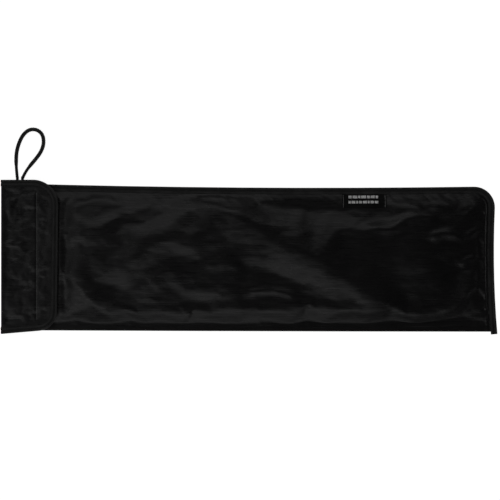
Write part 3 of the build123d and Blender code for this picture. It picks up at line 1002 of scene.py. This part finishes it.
def seam_half(path):
    """Half the thickness of the seam's tape: less left of the mouth, more over the cord's ends."""
    half = SINGLE_HALF + (SEAM_Z - SINGLE_HALF) * ease((path[:, 0] - MOUTH_X + 2 * MM) / 0.004)
    for x in TAIL_X:
        half = half + 0.7 * MM * (hump(path[:, 0] - x, 2.6 * MM) * (path[:, 1] > 0))
    return half


def make_tapes():
    seam_path = resample(SEAM, TAPE_STEP)
    seam_path = seam_path[seam_path[:, 0] > CREASE_X + BEND]
    half = seam_half(seam_path)
    riser = riser_frame(SEAM[0][1], FLAP_EDGE[0][1], 1, False)
    course = joined(riser, flat_frame(seam_path, half))
    made = tape("edge_tape", course, np.concatenate([np.full(len(riser[0]), SINGLE_HALF), half]))
    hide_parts("edge_binding")
    crease_blend(made, False)

    xs = np.arange(MOUTH_X + 0.3 * MM, CREASE_X + BEND, -TAPE_STEP)
    low = np.column_stack([xs, np.full(len(xs), CORNER_Y)])
    riser = backwards(riser_frame(CORNER_Y, FLAP_EDGE[-1][1], -1, False))
    made = tape("corner_tape", joined(flat_frame(low, SINGLE_HALF), riser), SINGLE_HALF, seed=3.0)
    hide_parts("corner_binding")
    crease_blend(made, False)

    flap_path = resample(FLAP_EDGE, TAPE_STEP)
    first = riser_frame(SEAM[0][1], FLAP_EDGE[0][1], 1, True)
    last = backwards(riser_frame(CORNER_Y, FLAP_EDGE[-1][1], -1, True))
    course = joined(first, flat_frame(flap_path, UPPER_Z), last)
    made = tape("flap_tape", course, SINGLE_HALF, width=FLAP_TAPE, seed=6.0)
    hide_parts("flap_binding", "fold_bindings")
    crease_blend(made, True)

    ys = np.arange(MOUTH_HI.y + 1 * MM, MOUTH_LO.y - 0.5 * MM, -TAPE_STEP)
    made = tape("mouth_tape", mouth_course(ys, 0.0), SINGLE_HALF, seed=9.0)
    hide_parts("mouth_binding")
    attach(made, "pouch")


def front_at(x, y):
    return front_z(x, y, nearest(x, y, SEAM)[0])


def mouth_course(ys, inside):
    """Down the front's free edge, a distance inside it."""
    x = np.full(len(ys), MOUTH_LO.x)
    path = np.column_stack([x + inside, ys, front_at(x + 5 * MM, ys)])
    inward = np.tile((1.0, 0, 0), (len(ys), 1))
    return path, inward, np.cross(tangents(path), inward) * -1


# ---- threads ----


def repeated(faces, count, size):
    """The faces of one piece, again for each of many like it that have that many vertices."""
    return [tuple(k + n * size for k in face) for n in range(count) for face in faces]


def strands(name, centres, directions, normals, lengths, radius, finish, sink=0.5, rings=7, sides=6):
    """Many short strands in one mesh, each dipping at both ends."""
    where = (np.asarray(v, float)[:, None, None] for v in (centres, directions, normals))
    centres, directions, normals = where
    lengths = np.broadcast_to(lengths, len(centres))[:, None, None, None]
    t = np.linspace(-1, 1, rings)[None, :, None, None]
    swell = np.sqrt(np.clip(1 - np.abs(t) ** 5, 0.02, 1))
    height = radius * (0.35 - sink * 1.6 * t**4)
    angle = (np.arange(sides) * 2 * pi / sides)[None, None, :, None]
    spots = centres + directions * (t * lengths / 2)
    spots = spots + normals * (height + radius * swell * np.cos(angle))
    spots = spots + np.cross(directions, normals) * (radius * swell * np.sin(angle))
    one = grid_faces(rings, sides, True)
    one += [tuple(range(sides))[::-1], tuple((rings - 1) * sides + k for k in range(sides))]
    return mesh_object(name, spots.reshape(-1, 3), repeated(one, len(centres), rings * sides), finish)


def row(path, normal):
    """Centres, directions and normals of the stitches along a path of points."""
    spots = resample(path, STITCH_PITCH)
    middle = (spots[:-1] + spots[1:]) / 2
    return middle, tangents(spots)[:-1], np.tile(normal, (len(middle), 1))


def sew(name, rows, body, node):
    parts = (np.concatenate(part) for part in zip(*rows))
    made = strands(name, *parts, STITCH, THREAD_RADIUS, THREAD_FINISH)
    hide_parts(node)
    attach(made, body)


def taped_line(path, inside):
    """A line that far inside a bound edge, as far as the crease."""
    line = path + rightward(path) * inside
    return line[line[:, 0] > CREASE_X + 2 * MM]


def touch_line(low, high):
    """Round the four sides of a touch tape."""
    x0, x1 = low.x + TOUCH_INSET, high.x - TOUCH_INSET
    y0, y1 = low.y + TOUCH_INSET, high.y - TOUCH_INSET
    return resample([(x0, y0), (x1, y0), (x1, y1), (x0, y1), (x0, y0)], 1 * MM)


def both_sides(line, over, under):
    """Two rows of stitches along a flat line, at their heights."""
    return [row(on_level(line, over), (0, 0, 1.0)), row(on_level(line, under), (0, 0, -1.0))]


def make_stitches():
    line = taped_line(SEAM, TAPE / 2)
    rows = both_sides(line, 2 * seam_half(line) - 0.5 * MM, 0.2 * MM)
    sew("edge_stitches", rows, "pouch", "edge_stitching")

    line = taped_line(FLAP_EDGE, FLAP_TAPE / 2)
    rows = both_sides(line, UPPER_Z + SINGLE_HALF - 0.45 * MM, UPPER_Z - SINGLE_HALF + 0.12 * MM)
    sew("flap_stitches", rows, "flap", "flap_stitching")

    line = touch_line(HOOK_LO, HOOK_HI)
    x, y = line.T
    depth, _ = nearest(x, y, FLAP_EDGE)
    over, under = flap_z(x, y, depth) + CLOTH / 2, HOOK_LO.z + 0.4 * MM + flap_lift(x, y, depth)
    sew("hook_tape_stitches", both_sides(line, over, under), "flap", "hook_tape_stitching")

    line = on_level(touch_line(LOOP_LO, LOOP_HI), LOOP_HI.z - 0.35 * MM)
    sew("loop_tape_stitches", [row(line, (0, 0, 1.0))], "pouch", "loop_tape_stitching")

    ys = np.arange(MOUTH_HI.y - 1 * MM, MOUTH_LO.y + 1 * MM, -1 * MM)
    path, _, up = mouth_course(ys, TAPE / 2)
    middle, along, _ = row(path + up * (SINGLE_HALF - 0.12 * MM), (0, 0, 1.0))
    rows = [(middle, along, np.cross(along, (1.0, 0, 0)) * -1)]
    sew("mouth_stitches", rows, "pouch", "mouth_stitching")


make_tapes()
make_stitches()

# ---- touch tapes ----


def slab(name, low, high, z_low, z_high, finish):
    """A flat strip with softened edges, fine enough to shade well."""
    columns = int((high.x - low.x) / (2 * MM)) + 1
    rows = int((high.y - low.y) / (2 * MM)) + 1
    i, j = grid_index(columns, rows)
    x, y = np.linspace(low.x, high.x, columns)[i], np.linspace(low.y, high.y, rows)[j]
    points = np.column_stack([x, y, np.full(len(x), (z_low + z_high) / 2)])
    made = mesh_object(name, points, grid_faces(columns, rows), finish)
    return settle(made, thicken(z_high - z_low), soften(0.3 * MM))


def join(first, *others):
    """Joins objects into the first one."""
    edit = bmesh.new()
    for one in (first, *others):
        edit.from_mesh(one.data)
    edit.to_mesh(first.data)
    edit.free()
    for one in others:
        bpy.data.objects.remove(one)
    return first


def scatter(low, high, pitch, jitter, seed):
    """Random spots on a grid inside a box."""
    rng = np.random.default_rng(seed)
    xs = np.arange(low.x + pitch, high.x - pitch / 2, pitch)
    ys = np.arange(low.y + pitch, high.y - pitch / 2, pitch)
    x, y = (v.ravel() for v in np.meshgrid(xs, ys, indexing="ij"))
    return x + rng.uniform(-jitter, jitter, len(x)), y + rng.uniform(-jitter, jitter, len(y)), rng


def make_hook_tape():
    """A strip with rows of stems, each with a head bent to one side."""
    base = HOOK_HI.z - 0.45 * MM
    hook_tape = slab("hook_tape_base", HOOK_LO, HOOK_HI, base, HOOK_HI.z, HOOK_FINISH)
    x, y, _ = scatter(HOOK_LO, HOOK_HI, 1.7 * MM, 0.1 * MM, 11)
    down, sideways = np.tile((0, 0, -1.0), (len(x), 1)), np.tile((1.0, 0, 0), (len(x), 1))
    sideways[::2] *= -1
    stems = np.column_stack([x, y, np.full(len(x), base - 0.35 * MM)])
    heads = np.column_stack([x, y, np.full(len(x), base - 0.75 * MM)]) + sideways * 0.12 * MM
    posts = strands("hook_stems", stems, down, sideways, 0.9 * MM, 0.16 * MM, HOOK_FINISH, 0, 3, 5)
    tips = strands("hook_heads", heads, sideways, down, 0.62 * MM, 0.15 * MM, HOOK_FINISH, -0.6, 5, 5)
    made = join(hook_tape, posts, tips)
    made.name = "hook_strip"
    spots = spots_of(made)
    depth, _ = nearest(spots[:, 0], spots[:, 1], FLAP_EDGE)
    spots[:, 2] += flap_lift(spots[:, 0], spots[:, 1], depth)
    made.data.vertices.foreach_set("co", spots.ravel())
    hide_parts("hook_tape")
    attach(made, "flap")


def make_loop_tape():
    """A strip with a nap of small rings, half sunk in it and turned at random."""
    base = LOOP_LO.z + 0.5 * MM
    loop_tape = slab("loop_strip", LOOP_LO, LOOP_HI, LOOP_LO.z - 0.3 * MM, base, LOOP_FINISH)
    x, y, rng = scatter(LOOP_LO, LOOP_HI, 1.15 * MM, 0.5 * MM, 12)
    turn, lean = rng.uniform(0, 2 * pi, len(x)), rng.uniform(-0.5, 0.5, len(x))
    size = rng.uniform(0.45, 0.8, len(x)) * MM
    sideways = np.column_stack([np.cos(turn), np.sin(turn), turn * 0])
    upward = np.column_stack([-np.sin(turn) * np.sin(lean), np.cos(turn) * np.sin(lean), np.cos(lean)])
    across = np.cross(sideways, upward)
    foot = np.column_stack([x, y, np.full(len(x), base - 0.05 * MM)])
    rings, sides = 7, 4
    angle, ring = np.linspace(0, pi, rings)[None, :, None], (np.arange(sides) * pi / 2)[None, None, :, None]
    out = sideways[:, None] * np.cos(angle) + upward[:, None] * np.sin(angle)
    middle = foot[:, None] + out * size[:, None, None]
    wall = 0.075 * MM * (out[:, :, None] * np.cos(ring) + across[:, None, None] * np.sin(ring))
    spots = (middle[:, :, None] + wall).reshape(-1, 3)
    faces = repeated(grid_faces(rings, sides, True), len(x), rings * sides)
    fuzz = mesh_object("loop_fuzz", spots, faces, LOOP_FINISH)
    made = join(loop_tape, fuzz)
    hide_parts("loop_tape")
    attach(made, "pouch")


make_hook_tape()
make_loop_tape()

# ---- label ----

LABEL_LO, LABEL_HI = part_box("woven_label")
LABEL_MIDDLE = (LABEL_LO + LABEL_HI) / 2
LABEL_LONG, LABEL_WIDE = 60 * MM, 18.6 * MM
LABEL_EDGE = 9.3 * MM  # from its middle to its lower edge, which waves a little


def label_surface(a, b, lift):
    """Points on the label: a runs along the seam, b up towards it; and the seam's direction."""
    heading = tangents(SEAM)[np.abs(SEAM[:, 0] - LABEL_MIDDLE.x).argmin()]
    x = LABEL_MIDDLE.x + heading[0] * a + -heading[1] * b
    y = LABEL_MIDDLE.y + heading[1] * a + heading[0] * b
    wave = 0.25 * MM * np.sin(a / 0.011 + 0.7) * hump(b + LABEL_EDGE, 0.006)
    return np.column_stack([x, y, front_at(x, y) + 0.5 * MM + lift + wave]), np.array([*heading, 0])


def make_label():
    columns, rows = 61, 20
    i, j = grid_index(columns, rows)
    a, b = LABEL_LONG * (i / (columns - 1) - 0.5), LABEL_WIDE * (j / (rows - 1) - 0.5)
    points, _ = label_surface(a, b, 0.0)
    made = mesh_object("label_tape", points, grid_faces(columns, rows), LABEL_FINISH)
    settle(made, thicken(0.45 * MM), soften(0.1 * MM))
    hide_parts("woven_label")
    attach(made, "pouch")


# Blocks woven into the label: row height above its middle, block height, and each block's start and length.
LABEL_ROWS = (
    (5.6, 4.6, ((-21, 4.2), (-15.4, 6), (-8, 2.6), (-4, 6.6), (4, 3.4), (8.8, 5.4), (15.6, 3))),
    (-1.4, 4.2, ((-21, 2.6), (-17, 5), (-10.6, 2.4), (-6.8, 3.6), (-1.8, 5.2), (4.8, 2.4), (8.6, 4.4),
      (14.4, 4.2))),
)


def label_strands(name, a, b, lift, lengths, radius, finish):
    """Strands on the label, each across it."""
    points, heading = label_surface(a, b, lift)
    direction = unit(label_surface(a, b + 1 * MM, lift)[0] - points)
    normals = np.cross(np.broadcast_to(heading, direction.shape), direction)
    return strands(name, points, direction, normals, lengths, radius, finish, 0.4)


def make_label_blocks():
    centres, sizes = [], []
    for middle, tall, blocks in LABEL_ROWS:
        for start, length in blocks:
            for a in np.arange(start, start + length, BAR_PITCH / MM):
                centres.append((a * MM, middle * MM))
                sizes.append(tall * MM)
    a, b = np.array(centres).T
    made = label_strands("label_blocks", a, b, 0.2 * MM, np.array(sizes), 0.22 * MM, WHITE_FINISH)
    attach(made, "pouch")


def make_label_stitches():
    reach = LABEL_LONG / 2 - 1.8 * MM
    b = np.arange(-7.6, 8.0, 1.9) * MM
    a = np.concatenate([np.full(len(b), -reach), np.full(len(b), reach)])
    b = np.concatenate([b, b])
    made = label_strands("label_stitches", a, b, 0.22 * MM, 1.7 * MM, 0.2 * MM, PALE_FINISH)
    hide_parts("label_stitching")
    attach(made, "pouch")


make_label()
make_label_blocks()
make_label_stitches()

# ---- cord tails and their bartacks ----


TAIL_Y = 0.0950, 0.1086  # from inside the seam to just past the joint
TAIL_LOW = 1.1 * MM


def make_tails():
    """The cord's ends: flattened in the seam, round where they leave it."""
    parts = []
    for n, x in enumerate(TAIL_X):
        line = np.column_stack([np.full(40, x), np.linspace(*TAIL_Y, 40), np.full(40, SWING.z)])
        tail = braid(f"tail_{n}", line, 1.0)
        spots = spots_of(tail)
        y = spots[:, 1]
        out = ease((y - 0.0985) / 0.0045)
        last = 1 - 0.07 * ease((y - 0.1076) / 0.001)
        reach = spots - np.array([x, 0, SWING.z])
        reach[:, 0] *= CORD / 2 * 1.03 * last * (1 + 0.25 * (1 - out))
        reach[:, 2] *= CORD / 2 * 1.03 * last * (0.35 + 0.65 * out)
        spots[:, 0], spots[:, 2] = x + reach[:, 0], TAIL_LOW + (SWING.z - TAIL_LOW) * out + reach[:, 2]
        tail.data.vertices.foreach_set("co", spots.ravel())
        parts.append(tail)
    made = join(*parts)
    made.name = "cord_tails"
    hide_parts("loop_tails")
    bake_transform(made)


def make_bartacks():
    low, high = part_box("loop_bartack")
    centres = []
    for x in TAIL_X:
        for y in np.arange(low.y, high.y, BAR_PITCH):
            centres.append((x, y, 2 * float(seam_half(np.array([[x, y]]))[0]) + 0.02 * MM))
    count = len(centres)
    slant = unit(np.array([(1, 0.22 * (-1) ** n, 0) for n in range(count)]))
    upward = np.tile((0, 0, 1.0), (count, 1))
    made = strands("cord_bartacks", centres, slant, upward, 1.9 * MM, 0.22 * MM, THREAD_FINISH)
    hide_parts("loop_bartack")
    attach(made, "pouch")


make_tails()
make_bartacks()

corners = [(-4, -4, 0), (4, -4, 0), (4, 4, 0), (-4, 4, 0)]
mesh_object("floor", corners, [(0, 1, 2, 3)], floor_finish())
